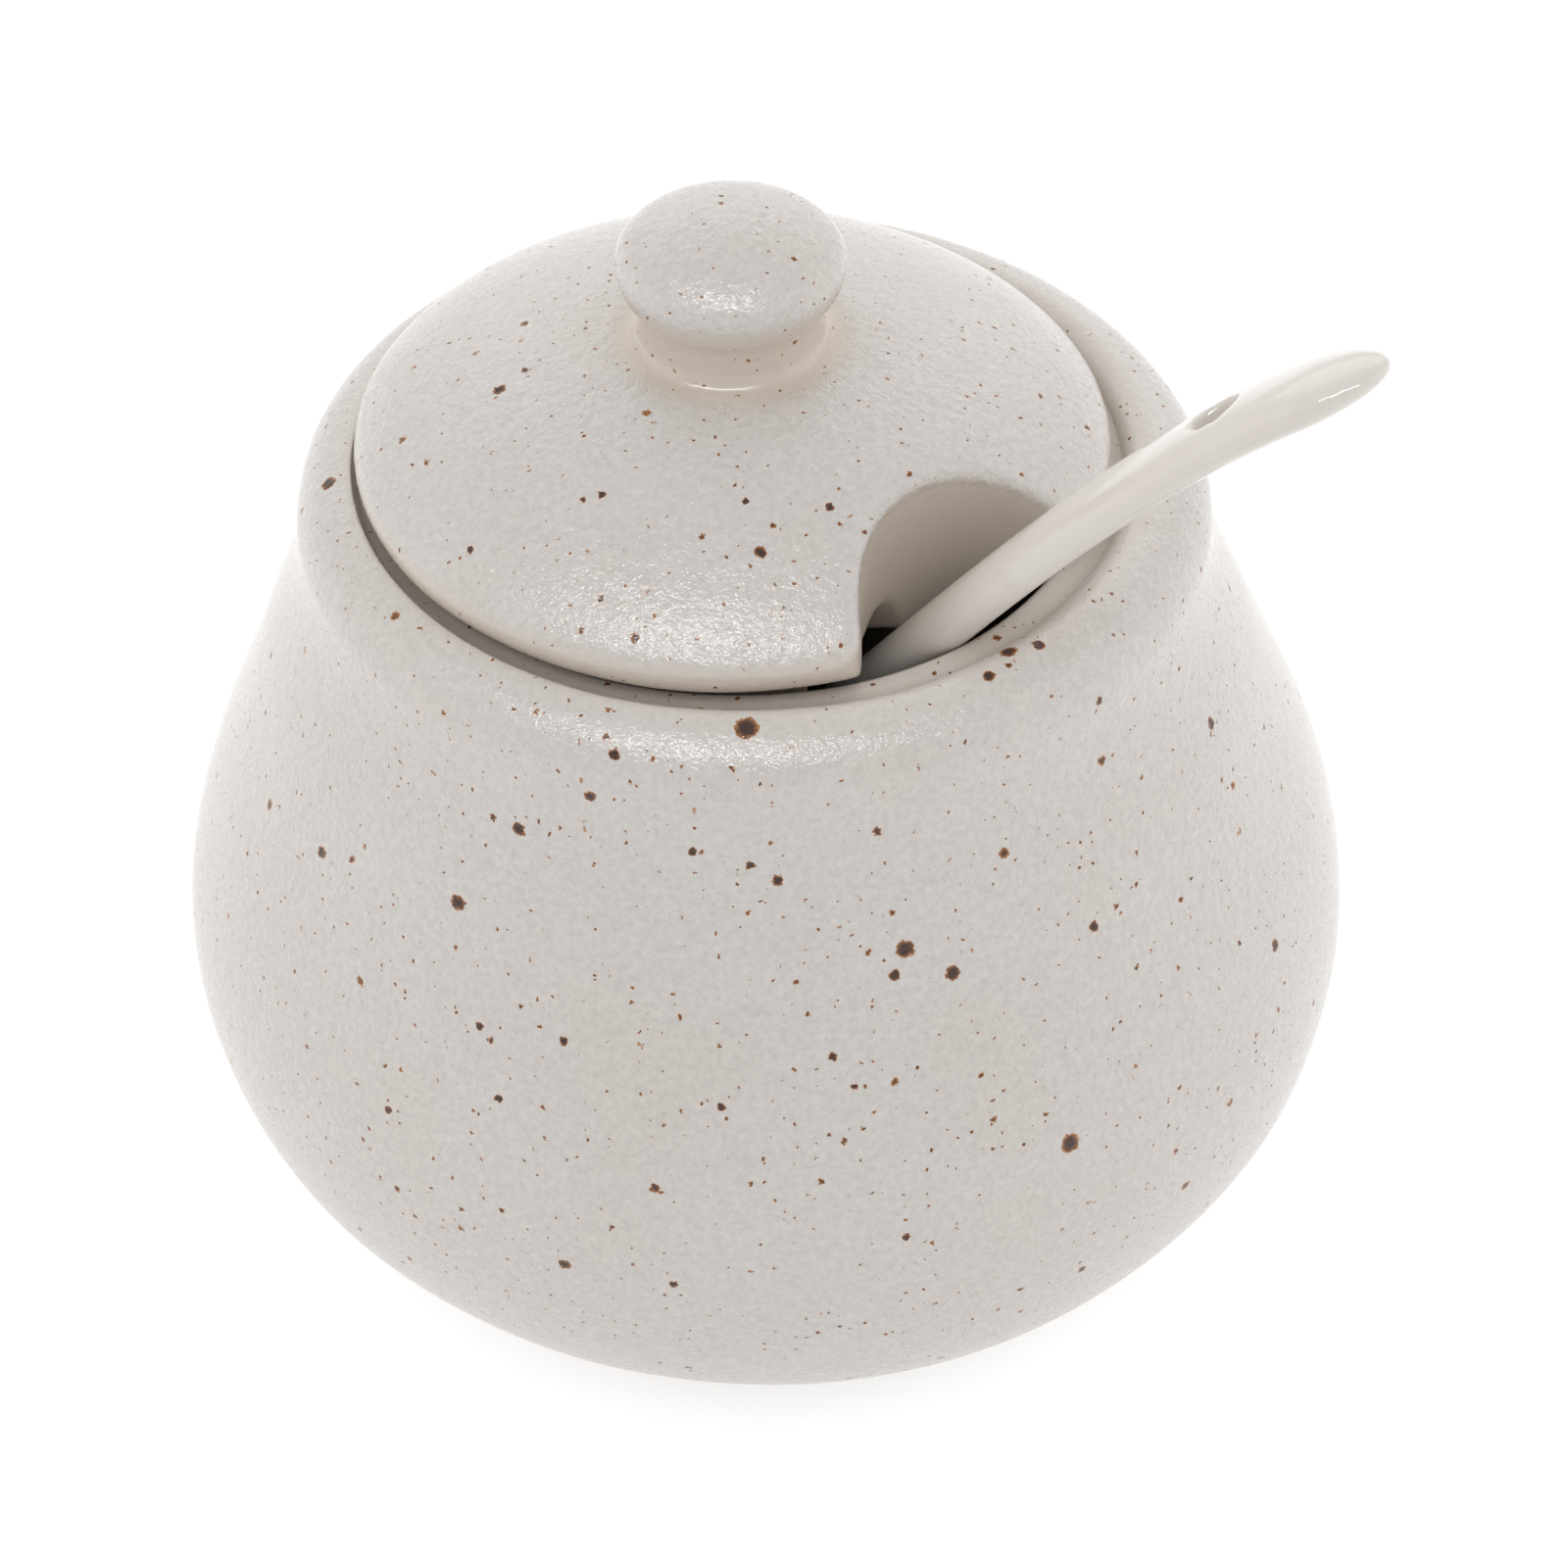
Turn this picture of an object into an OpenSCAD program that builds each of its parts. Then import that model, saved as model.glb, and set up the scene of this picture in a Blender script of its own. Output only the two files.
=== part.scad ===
// Stoneware jam pot with a notched lid and a porcelain spoon.
// Millimetres, +Z up, origin at the middle of the pot's foot.
// +X is to the right and -Y is the front, where the lid's notch opens.

/* [Pot] */
// Diameter of the belly at its widest
belly_d = 110; // [96:1:124]
// Height of the belly's widest ring above the foot
belly_z = 30; // [26:0.5:34]
// Diameter of the foot ring
foot_d = 62; // [52:1:72]
// Width of the foot ring's flat face
foot_ring_w = 5; // [3:0.5:8]
// Depth of the hollow under the base
foot_recess = 1.8; // [1:0.1:2.6]
// Diameter where the belly's curve turns into the neck
shoulder_d = 92.4; // [88:0.5:96]
// Height of that turn above the foot
shoulder_z = 59.4; // [56:0.5:62]
// Slope of the wall at that turn, from upright, in degrees
shoulder_lean = 20; // [16:1:24]
// Height of the pot at the top of its lip
pot_h = 81.3; // [78:0.5:86]
// Width of the rolled lip's outer round
lip_w = 6.1; // [5:0.1:6.2]
// Width of the lip's inner round, down to the seat
lip_in_w = 0.8; // [0.6:0.1:1.2]
// Height of the lip's outer round
lip_h = 5.8; // [4:0.1:7]
// Wall thickness of the body
wall = 4.6; // [3.5:0.1:5.5]
// Thickness of the base at its middle
floor_t = 4.8; // [3.5:0.1:7]
// Depth of the lid's seat below the top of the lip
seat_depth = 1.6; // [1.2:0.1:1.8]
// Width of the seat, from the mouth out to the lip
seat_w = 3.4; // [3:0.1:4.4]
// Thickness of the ledge that carries the lid
ledge_t = 3.2; // [2.5:0.1:4.5]

/* [Lid] */
// Height from the underside of the rim to its widest ring
lid_edge_h = 3.2; // [3:0.1:4]
// Width of the round under the lid's edge
lid_edge_w = 3.2; // [2.8:0.1:4]
// Height of the dome above the widest ring
dome_h = 11.6; // [8:0.1:14]
// Wall thickness of the dome
lid_wall = 4; // [3:0.1:5]
// Outer diameter of the locating ring under the lid
ring_d = 56.4; // [54:0.2:60]
// Wall thickness of the locating ring
ring_w = 3; // [2.4:0.1:4]
// Height of the locating ring below the seat
ring_h = 6; // [4:0.5:8]
// How far the lid lies off the pot's axis, to the left
lid_shift = 1.5; // [0:0.1:1.6]

/* [Notch] */
// Diameter of the round notch for the spoon
notch_d = 27; // [26:0.5:29]
// Distance of the notch's centre outside the lid's edge
notch_out = 2.7; // [1.7:0.1:3.7]
// Direction of the notch, in degrees from +X
notch_angle = -48; // [-52:1:-44]
// Radius of the two outer corners of the notch
notch_corner = 3; // [2:0.1:3.5]
// Thickness of the wall that lines the notch
notch_wall = 3; // [2.4:0.1:3.6]
// How far that wall reaches below the seat
notch_drop = 0.4; // [0.4:0.1:1.2]
// Room for the spoon between the ends of the locating ring
ring_clearance = 4.5; // [4:0.5:7]

/* [Knob] */
// Diameter of the knob at its widest
knob_d = 20.3; // [18:0.1:23]
// Diameter of the knob's neck
knob_neck_d = 16.2; // [14:0.1:17.5]
// Height of the knob above the dome
knob_h = 12.3; // [10:0.1:15]
// Height of the knob's rounded cap
knob_cap_h = 4.7; // [3.5:0.1:6]
// Radius of the fillet at the knob's foot
knob_fillet = 1.2; // [0.8:0.1:2]

/* [Spoon] */
// Length of the spoon along its middle line
spoon_len = 140.5; // [134:0.5:143]
// Length of the bowl
bowl_len = 35; // [32:0.5:38]
// Width of the bowl
bowl_w = 25; // [22:0.5:28]
// Depth of the bowl's hollow
bowl_depth = 6; // [4.5:0.1:7]
// Thickness of the bowl's shell
bowl_t = 2.4; // [2:0.1:3]
// Width of the bowl's rounded rim
bowl_rim = 1.8; // [1.4:0.1:2.2]
// Width of the handle where it leaves the bowl
handle_w = 5.2; // [4.6:0.1:6]
// Thickness of the handle where it leaves the bowl
handle_t = 4.8; // [4.4:0.1:5.4]
// Width of the flattened end of the handle
end_w = 11; // [9:0.1:12.5]
// Thickness of the flattened end
end_t = 4.4; // [3.6:0.1:5]
// Diameter of the hole for hanging the spoon
hole_d = 4.4; // [3.4:0.1:5]
// Distance of that hole from the end of the handle
hole_inset = 16; // [12:0.5:20]
// Length of the handle that curves down to its end
end_curve = 49; // [44:1:54]
// How far the end of the handle turns down, in degrees
end_bend = 21; // [16:1:26]
// How far the bowl turns down from the handle, in degrees
bowl_bend = 11; // [6:1:16]
// Slope of the leaning handle, in degrees
spoon_lean = 51.3; // [50:0.5:53]
// Direction in which the handle leans out, in degrees from +X
spoon_heading = -15; // [-18:1:-12]
// Turn of the spoon about its own handle, in degrees
spoon_roll = -12; // [-16:1:-8]
// Place round the mouth where the handle rests, in degrees from +X
rest_angle = -52; // [-54:0.5:-50]

/* [Fit] */
// Room all round between the locating ring and the mouth
ring_room = 2.8; // [2.4:0.1:3.4]
// Room all round between the lid and the lip's inner edge
lid_room = 0.6; // [0.5:0.1:1]
// Seat gap between pieces that lie on each other
seat_gap = 0.3; // [0.2:0.05:0.4]

/* [Hidden] */
$fn = 96;
// Overrun of every cut
over = 2;

glaze_color = [0.84, 0.81, 0.79];
spoon_color = [0.88, 0.86, 0.83];

// Points on a curve of the third degree, without its first point
function bezier(a, b, c, d, n) = [for (i = [1:n]) let (t = i / n, u = 1 - t)
    u*u*u*a + 3*u*u*t*b + 3*u*t*t*c + t*t*t*d];
// Points on a quarter of an ellipse about c, from angle a0 to a1
function arc(c, rx, ry, a0, a1, n) = [for (i = [1:n]) let (a = a0 + (a1 - a0)*i/n)
    c + [rx*cos(a), ry*sin(a)]];
function ramp(a, b, x) = let (t = min(1, max(0, (x - a)/(b - a)))) t*t*(3 - 2*t);
function smooth_max(a, b) = pow(pow(a, 4) + pow(b, 4), 0.25);

// Pot outline
belly_r = belly_d/2;
foot_r = foot_d/2;
shoulder_r = shoulder_d/2;
ring_r = ring_d/2;
mouth_r = ring_r + ring_room;
seat_r = mouth_r + seat_w;
seat_z = pot_h - seat_depth;
lip_r = seat_r + lip_in_w + lip_w;
lip_z = pot_h - lip_h;
floor_z = foot_recess + floor_t;
lean_dir = [-sin(shoulder_lean), cos(shoulder_lean)];
belly_steps = 18;
neck_steps = 12;
lip_steps = 10;
// How far each curve's handles reach, as shares of its own width or height
foot_reach_share = 0.55;
foot_rise_share = 0.12;
belly_low_share = 0.52;
belly_high_share = 0.38;
shoulder_low_share = 0.35;
shoulder_high_share = 0.5;
neck_share = 0.35;

foot_point = [foot_r, 0];
belly_point = [belly_r, belly_z];
shoulder_point = [shoulder_r, shoulder_z];
lip_point = [lip_r, lip_z];
belly_rise = shoulder_z - belly_z;
neck_rise = lip_z - shoulder_z;

outer_line = concat([foot_point],
    bezier(foot_point,
           foot_point + [foot_reach_share*(belly_r - foot_r), foot_rise_share*belly_z],
           belly_point - [0, belly_low_share*belly_z],
           belly_point, belly_steps),
    bezier(belly_point,
           belly_point + [0, belly_high_share*belly_rise],
           shoulder_point - shoulder_low_share*belly_rise*lean_dir,
           shoulder_point, belly_steps),
    bezier(shoulder_point,
           shoulder_point + shoulder_high_share*neck_rise*lean_dir,
           lip_point - [0, neck_share*neck_rise],
           lip_point, neck_steps),
    arc([lip_r - lip_w, lip_z], lip_w, lip_h, 0, 90, lip_steps));

// Inside of the pot, from the lip down to the middle of the floor
inner_floor_r = foot_r - foot_ring_w - wall/2;
inner_belly = belly_point - [wall, 0];
inner_shoulder = shoulder_point - wall*[lean_dir[1], -lean_dir[0]];
throat_z = seat_z - ledge_t;
throat_drop = lip_w;
inner_neck = [lip_r - wall, throat_z - throat_drop];
edge_round = wall/10;
inner_neck_rise = inner_neck[1] - inner_shoulder[1];
inner_floor_rise = belly_z - floor_z;

floor_curve = bezier(inner_belly,
    inner_belly - [0, belly_low_share*inner_floor_rise],
    [inner_floor_r + foot_reach_share*(inner_belly[0] - inner_floor_r), floor_z],
    [inner_floor_r, floor_z], belly_steps);

inner_line = concat(
    arc([seat_r + lip_in_w, seat_z], lip_in_w, seat_depth, 90, 180, 4),
    [[mouth_r + edge_round, seat_z]],
    [[mouth_r, seat_z - edge_round]],
    [[mouth_r, throat_z]],
    bezier([mouth_r, throat_z],
           [(mouth_r + inner_neck[0])/2, throat_z],
           inner_neck + [0, throat_drop/2],
           inner_neck, 6),
    bezier(inner_neck,
           inner_neck - [0, neck_share*inner_neck_rise],
           inner_shoulder + shoulder_high_share*inner_neck_rise*lean_dir,
           inner_shoulder, neck_steps),
    bezier(inner_shoulder,
           inner_shoulder - shoulder_low_share*belly_rise*lean_dir,
           inner_belly + [0, belly_high_share*belly_rise],
           inner_belly, belly_steps),
    floor_curve,
    [[0, floor_z]]);

// Hollow under the base, inside the foot ring
recess_r = foot_r - foot_ring_w;
recess_line = concat([[0, foot_recess]],
    arc([recess_r - foot_ring_w, 0], foot_ring_w, foot_recess, 90, 0, 4));

module pot() {
    color(glaze_color)
        rotate_extrude()
            polygon(concat(outer_line, inner_line, recess_line));
}

// Lid outline, from the middle of the dome down to its edge
lid_r = seat_r - lid_room;
lid_z = seat_z + seat_gap;
edge_z = lid_z + lid_edge_h;
apex_z = edge_z + dome_h;
dome_steps = 18;
// How far the dome's curve handles reach, as shares of its height and radius
dome_rise_share = 0.12;
dome_flat_share = 0.7;
edge_point = [lid_r, edge_z];

dome_line = bezier(edge_point,
    edge_point + [0, dome_rise_share*dome_h],
    [dome_flat_share*lid_r, apex_z],
    [0, apex_z], dome_steps);
edge_line = concat([[0, lid_z], [lid_r - lid_edge_w, lid_z]],
    arc([lid_r - lid_edge_w, edge_z], lid_edge_w, lid_edge_h, -90, 0, 5));

ring_in_r = ring_r - ring_w;
notch_r = notch_d/2;
notch_reach = lid_r + notch_out;

// The hollow under the dome keeps the lid's wall all round
hollow_r = ring_in_r;
hollow_z = apex_z - lid_wall;
hollow_edge_z = edge_z;
hollow_line = concat([[0, lid_z - ring_h - over], [hollow_r, lid_z - ring_h - over]],
    [[hollow_r, hollow_edge_z]],
    bezier([hollow_r, hollow_edge_z],
           [hollow_r, hollow_edge_z + dome_flat_share*(hollow_z - hollow_edge_z)],
           [dome_flat_share*hollow_r, hollow_z],
           [0, hollow_z], 10));

// Knob outline, from the dome up to the top of the cap
knob_r = knob_d/2;
neck_r = knob_neck_d/2;
knob_top = apex_z + knob_h;
cap_z = knob_top - knob_cap_h;
stem_z = apex_z + knob_fillet;
knob_base_z = apex_z - lid_wall/2;
knob_line = concat([[0, knob_base_z], [neck_r + knob_fillet, knob_base_z]],
    [[neck_r + knob_fillet, apex_z - knob_fillet/4]],
    arc([neck_r + knob_fillet, stem_z], knob_fillet, knob_fillet*5/4, 270, 180, 5),
    bezier([neck_r, stem_z],
           [neck_r, stem_z + (cap_z - stem_z)/3],
           [knob_r, cap_z - (cap_z - stem_z)/2],
           [knob_r, cap_z], 8),
    bezier([knob_r, cap_z],
           [knob_r, cap_z + knob_cap_h/2],
           [knob_r*3/5, knob_top],
           [0, knob_top], 10));

module at_notch() {
    rotate([0, 0, notch_angle])
        translate([notch_reach, 0, 0])
            children();
}

// Plan of the notch: a round end, and two rounded corners at the lid's edge
corner_from_axis = lid_r - notch_corner;
corner_from_notch = notch_r + notch_corner;
corner_x = (corner_from_axis*corner_from_axis + notch_reach*notch_reach
    - corner_from_notch*corner_from_notch)/(2*notch_reach);
corner_y = sqrt(corner_from_axis*corner_from_axis - corner_x*corner_x);
corner_place = [corner_x - notch_reach, corner_y];
corner_in = corner_place*notch_r/corner_from_notch;
corner_out = (lid_r + over)/corner_from_axis*[corner_x, corner_y] - [notch_reach, 0];

module notch_cut() {
    at_notch() {
        cylinder(r = notch_r, h = cut_h);
        difference() {
            linear_extrude(cut_h)
                polygon([[0, 0], corner_in, corner_out, [notch_r + over, 0],
                         [corner_out[0], -corner_out[1]], [corner_in[0], -corner_in[1]]]);
            for (side = [-1, 1])
                translate([corner_place[0], side*corner_place[1], -over])
                    cylinder(r = notch_corner, h = cut_h + 2*over);
        }
    }
}

ring_foot_z = lid_z - ring_h;
cut_h = apex_z - ring_foot_z + 2*over;

module lid_dome() {
    difference() {
        rotate_extrude()
            polygon(concat(edge_line, dome_line));
        rotate_extrude()
            polygon(hollow_line);
    }
}

// The ring that keeps the lid on its seat, open where the spoon comes up
module locating_ring() {
    difference() {
        translate([0, 0, ring_foot_z])
            cylinder(r = ring_r, h = ring_h + lid_edge_h);
        translate([0, 0, ring_foot_z - over])
            cylinder(r = ring_in_r, h = cut_h);
        translate([0, 0, ring_foot_z - over])
            at_notch()
                cylinder(r = notch_r + ring_clearance, h = cut_h);
    }
}

// Upright wall round the notch, kept inside the dome
module notch_lining() {
    intersection() {
        translate([0, 0, lid_z - notch_drop])
            at_notch()
                cylinder(r = notch_r + notch_wall, h = cut_h);
        rotate_extrude()
            polygon(concat([[0, lid_z - notch_drop], [ring_r, lid_z - notch_drop], [ring_r, lid_z]],
                           [[lid_r - lid_edge_w, lid_z], edge_point], dome_line));
    }
}

module lid() {
    color(glaze_color)
        translate([-lid_shift, 0, 0])
            difference() {
                union() {
                    lid_dome();
                    locating_ring();
                    notch_lining();
                    rotate_extrude()
                        polygon(knob_line);
                }
                translate([0, 0, ring_foot_z - over])
                    notch_cut();
            }
}

// Spoon: stations along its middle line, from the tip of the bowl
ring_count = 44;
side_steps = 12;
bowl_half = bowl_len/2;
bend_start = bowl_len*5/6;
bend_end = bowl_len*4/3;
curve_start = spoon_len - end_curve;
end_round = end_w*4/5;
// Share of the end's bend that comes at an even rate
early_bend_share = 0.4;
stations = [for (i = [0:ring_count]) let (t = i/ring_count)
    spoon_len*(t - sin(360*t)/(3*PI))];

function bowl_share(s) = s < bowl_len ? sqrt(max(0, 1 - pow((s - bowl_half)/bowl_half, 2))) : 0;
function tip_share(s) = s > spoon_len - end_round
    ? sqrt(max(0, 1 - pow((s - spoon_len + end_round)/end_round, 2))) : 1;
function flare(s) = ramp(spoon_len/2, spoon_len - hole_inset, s);
function root(s) = ramp(0, bowl_len, s);
function half_w(s) = smooth_max(bowl_w/2*bowl_share(s),
    (handle_w + (end_w - handle_w)*flare(s))/2*tip_share(s)*root(s));
function half_t(s) = (handle_t + (end_t - handle_t)*flare(s))/2*tip_share(s)*root(s);
function under(s) = smooth_max((bowl_depth + bowl_t)*bowl_share(s), half_t(s));
function dish(s) = let (u = (s - bowl_half)/(bowl_half - bowl_rim))
    abs(u) < 1 ? bowl_depth*sqrt(1 - u*u) : 0;
function top(s) = half_t(s)*ramp(bowl_len*3/4, bowl_len*5/4, s) - dish(s);
function rim(s) = bowl_rim*(1/6 + 5/6*(1 - ramp(bowl_len*3/4, bowl_len*5/4, s)))
    *min(1, half_w(s)/bowl_rim/2);
function turn(s) = s < curve_start
    ? -bowl_bend*(1 - ramp(bend_start, bend_end, s))
    : let (x = (s - curve_start)/end_curve) -end_bend*(early_bend_share*x + (1 - early_bend_share)*x*x*x);

// Middle line in the spoon's own plane, and the slope at each station
line = [for (i = 0, p = [0, 0]; i <= ring_count;
    i = i + 1, p = i > ring_count ? p : p + (stations[i] - stations[i - 1])
        *[cos(turn((stations[i] + stations[i - 1])/2)), sin(turn((stations[i] + stations[i - 1])/2))])
    p];
straight_i = [for (i = [0:ring_count]) if (stations[i] < curve_start) i];
handle_i = straight_i[len(straight_i) - 1];
handle_mid = line[handle_i];

function ring_at(i) = let (s = stations[i], w = half_w(s), r = rim(s), a = turn(s),
    loop = concat(
        [for (k = [0:side_steps]) let (f = 180 + 180*k/side_steps) [w*cos(f), under(s)*sin(f)]],
        [[w - r/2, r/3]],
        [for (k = [1:side_steps - 1]) let (f = 180*k/side_steps) [(w - r)*cos(f), top(s)*sin(f) + r/4]],
        [[r/2 - w, r/3]]))
    [for (q = loop) [line[i][0] - handle_mid[0] - q[1]*sin(a), q[0],
                     line[i][1] - handle_mid[1] + q[1]*cos(a)]];
function end_at(i) = [[line[i][0] - handle_mid[0], 0, line[i][1] - handle_mid[1]]];

loop_n = 2*side_steps + 2;
spoon_points = concat(end_at(0), [for (i = [1:ring_count - 1]) each ring_at(i)], end_at(ring_count));
last_point = len(spoon_points) - 1;
function at(i, k) = 1 + i*loop_n + k % loop_n;
spoon_faces = concat(
    [for (k = [0:loop_n - 1]) [0, at(0, k), at(0, k + 1)]],
    [for (i = [0:ring_count - 3]) for (k = [0:loop_n - 1]) each
        [[at(i, k), at(i + 1, k), at(i + 1, k + 1)], [at(i, k), at(i + 1, k + 1), at(i, k + 1)]]],
    [for (k = [0:loop_n - 1]) [last_point, at(ring_count - 2, k + 1), at(ring_count - 2, k)]]);

// The handle rests on the mouth's edge and the bowl stands on the floor
handle_dir = [cos(spoon_lean)*cos(spoon_heading), cos(spoon_lean)*sin(spoon_heading), sin(spoon_lean)];
rest_point = [mouth_r*cos(rest_angle), mouth_r*sin(rest_angle), seat_z];
rest_side = cross(handle_dir, [-sin(rest_angle), cos(rest_angle), 0]);
rest_axis = rest_point + rest_side/norm(rest_side)*(handle_t/2 + seat_gap);
function rolled(p) = [p[0], p[1]*cos(spoon_roll) - p[2]*sin(spoon_roll),
                      p[1]*sin(spoon_roll) + p[2]*cos(spoon_roll)];
function leaning(p) = [p[0]*cos(spoon_lean) - p[2]*sin(spoon_lean), p[1],
                       p[0]*sin(spoon_lean) + p[2]*cos(spoon_lean)];
function turned(p) = [p[0]*cos(spoon_heading) - p[1]*sin(spoon_heading),
                      p[0]*sin(spoon_heading) + p[1]*cos(spoon_heading), p[2]];

// How far the spoon is drawn out along its handle until the bowl clears the floor
floor_table = concat([for (p = floor_curve) p], [[0, floor_z]]);
bowl_points = [for (p = spoon_points) if (p[0] < line[0][0] - handle_mid[0] + bowl_len)
    rest_axis + turned(leaning(rolled(p)))];
function clearance_at(push) = min([for (p = bowl_points) let (q = p + push*handle_dir)
    q[2] - lookup(norm([q[0], q[1]]), floor_table)]);
function settled(low, high, n) = n == 0 ? high : let (mid = (low + high)/2)
    clearance_at(mid) > seat_gap ? settled(low, mid, n - 1) : settled(mid, high, n - 1);
push_in = settled(-spoon_len, spoon_len, 14);

hole_s = spoon_len - hole_inset;
hole_i = [for (i = [0:ring_count]) if (stations[i] < hole_s) i];
hole_from = hole_i[len(hole_i) - 1];
hole_part = (hole_s - stations[hole_from])/(stations[hole_from + 1] - stations[hole_from]);
hole_place = line[hole_from] + hole_part*(line[hole_from + 1] - line[hole_from]) - handle_mid;

module spoon() {
    color(spoon_color)
        translate(rest_axis + push_in*handle_dir)
            rotate([0, 0, spoon_heading])
                rotate([0, -spoon_lean, 0])
                    rotate([spoon_roll, 0, 0])
                        difference() {
                            polyhedron(spoon_points, spoon_faces);
                            translate([hole_place[0], 0, hole_place[1]])
                                rotate([0, -turn(hole_s), 0])
                                    cylinder(d = hole_d, h = end_t + 2*over, center = true);
                        }
}

pot();
lid();
spoon();
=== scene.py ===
from math import acos, cos, pi, radians, sin, sqrt

import bpy
import numpy as np
from mathutils import Matrix, Vector


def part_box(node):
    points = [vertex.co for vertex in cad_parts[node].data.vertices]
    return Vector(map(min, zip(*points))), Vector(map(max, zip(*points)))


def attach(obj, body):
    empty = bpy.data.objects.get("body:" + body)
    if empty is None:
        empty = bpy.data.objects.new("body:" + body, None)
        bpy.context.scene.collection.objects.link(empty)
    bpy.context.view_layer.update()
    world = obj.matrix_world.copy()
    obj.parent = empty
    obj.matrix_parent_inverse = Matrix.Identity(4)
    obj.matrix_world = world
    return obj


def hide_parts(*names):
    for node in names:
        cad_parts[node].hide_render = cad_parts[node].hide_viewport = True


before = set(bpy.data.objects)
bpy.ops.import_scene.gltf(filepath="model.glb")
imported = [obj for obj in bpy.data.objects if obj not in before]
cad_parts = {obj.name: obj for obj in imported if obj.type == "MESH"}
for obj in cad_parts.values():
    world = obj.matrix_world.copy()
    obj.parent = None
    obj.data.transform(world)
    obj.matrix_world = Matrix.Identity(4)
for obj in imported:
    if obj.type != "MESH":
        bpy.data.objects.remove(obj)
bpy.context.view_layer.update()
MM = 0.001

# The photograph's camera
# It looks down at the pot from the front with a long lens, half a metre away.
CAMERA_PLACE = Vector((1.08, -354.38, 354.74)) * MM
CAMERA_RIGHT = Vector((0.99998, -0.00593, -0.00172))
CAMERA_UP = Vector((0.00521, 0.66217, 0.74933))
CAMERA_LENS = 114.49
SENSOR = 36.0
NEAREST_SEEN = 10 * MM

camera_data = bpy.data.cameras.new("camera")
camera_data.lens = CAMERA_LENS
camera_data.sensor_width = SENSOR
camera_data.clip_start = NEAREST_SEEN
camera = bpy.data.objects.new("camera", camera_data)
bpy.context.scene.collection.objects.link(camera)
camera_back = CAMERA_RIGHT.cross(CAMERA_UP).normalized()
camera_turn = Matrix((CAMERA_RIGHT, CAMERA_UP, camera_back)).transposed().to_4x4()
camera.matrix_world = Matrix.Translation(CAMERA_PLACE) @ camera_turn
bpy.context.scene.camera = camera
bpy.context.scene.view_settings.view_transform = "Standard"

# The stoneware pot
# A thrown stoneware body with a full belly, a rolled lip, and a ledge inside the lip for the lid.
# Its outline runs from the foot over the lip to the floor inside, and is spun about the axis.
BELLY_R = 55.0
BELLY_Z = 30.0
FOOT_R = 31.0
FOOT_RING = 5.0
FOOT_HOLLOW = 1.8
FOOT_ROUND = 0.8
FOOT_TURN = np.array((1.0, 0.35))
RECESS_SLOPE = 5.0
SHOULDER_R = 46.2
SHOULDER_Z = 59.4
SHOULDER_LEAN = radians(20)
POT_H = 81.3
LIP_R = 41.3
LIP_W = 6.1
LIP_H = 5.8
# The lip is rolled up to this many degrees from level, and then slopes down to the ledge
LIP_END = 78
WALL = 4.6
FLOOR_Z = 6.6
MOUTH_R = 30.8
MOUTH_ROUND = 1.3
SEAT_Z = 79.7
SEAT_R = 34.2
LEDGE = 3.2
# Near the mouth the ledge falls a little
LEDGE_FALL = 0.1
LEDGE_FALL_W = 2.0
# How far each curve's ends are drawn out, in mm
FOOT_PULLS = ((0.3, 0.1), (13.6, 4.0))
SLOPE_PULLS = ((-1.3, 0.26), (0.5, 0.7))
INSIDE_PULLS = (12.2, 14.7)
# The same as shares of the curve's height
LOWER_BELLY_PULL = 0.52
UPPER_BELLY_PULL = 0.38
SHOULDER_PULL = 0.35
NECK_PULL = 0.5
LIP_PULL = 0.35
POT_STEPS = 224
# The middle of the wall: its radius at some heights, to tell the inside from the outside
WALL_MIDDLE_Z = (0, 6, 14, BELLY_Z, SHOULDER_Z, 70, 76.5, 79.8)
WALL_MIDDLE_R = (0, 20, 47, 52.5, 44, 39, 37.5, 35)
# The belly stands a little to the right of the rim, and fades into it between two heights
BELLY_OFFSET = 1.0
BELLY_FADE = (40, 74)
# The ledge stands a little to the left, and fades in by height and out by radius
LEDGE_OFFSET = -1.1
LEDGE_FADE_Z = (72, 79)
LEDGE_FADE_R = (34.4, 36.4)
# Where the glaze turns smooth on the lip, in degrees round it, and where the throat turns bare
SMOOTH_LIP_TURN = (58, 104)
THROAT_FADE_R = (MOUTH_R, MOUTH_R + 0.7)
THROAT_FADE_Z = (60, 72)


def bezier(a, b, c, d, n):
    """n points on a curve from a to d, without a."""
    a, b, c, d = (np.array(p, float) for p in (a, b, c, d))
    t = np.linspace(0, 1, n + 1)[1:, None]
    return list((1 - t)**3 * a + 3 * (1 - t)**2 * t * b + 3 * (1 - t) * t**2 * c + t**3 * d)


def arc(centre, rx, rz, start, end, n):
    """n points on part of an ellipse, with its angles in degrees, without the first."""
    angles = np.radians(np.linspace(start, end, n + 1)[1:])
    return [np.array((centre[0] + rx * cos(a), centre[1] + rz * sin(a))) for a in angles]


def smoothstep(x, low, high):
    """0 below low, 1 above high, and a smooth rise between them."""
    t = np.clip((np.asarray(x, float) - low) / (high - low), 0, 1)
    return t * t * (3 - 2 * t)


def smooth_fall(x, low, high):
    """1 below low, 0 above high, and a smooth fall between them."""
    return 1 - smoothstep(x, low, high)


def take_only(piece):
    """Leave edit mode and select this piece alone."""
    if bpy.context.object and bpy.context.object.mode != "OBJECT":
        bpy.ops.object.mode_set(mode="OBJECT")
    bpy.ops.object.select_all(action="DESELECT")
    if piece:
        bpy.context.view_layer.objects.active = piece
        piece.select_set(True)


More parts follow.
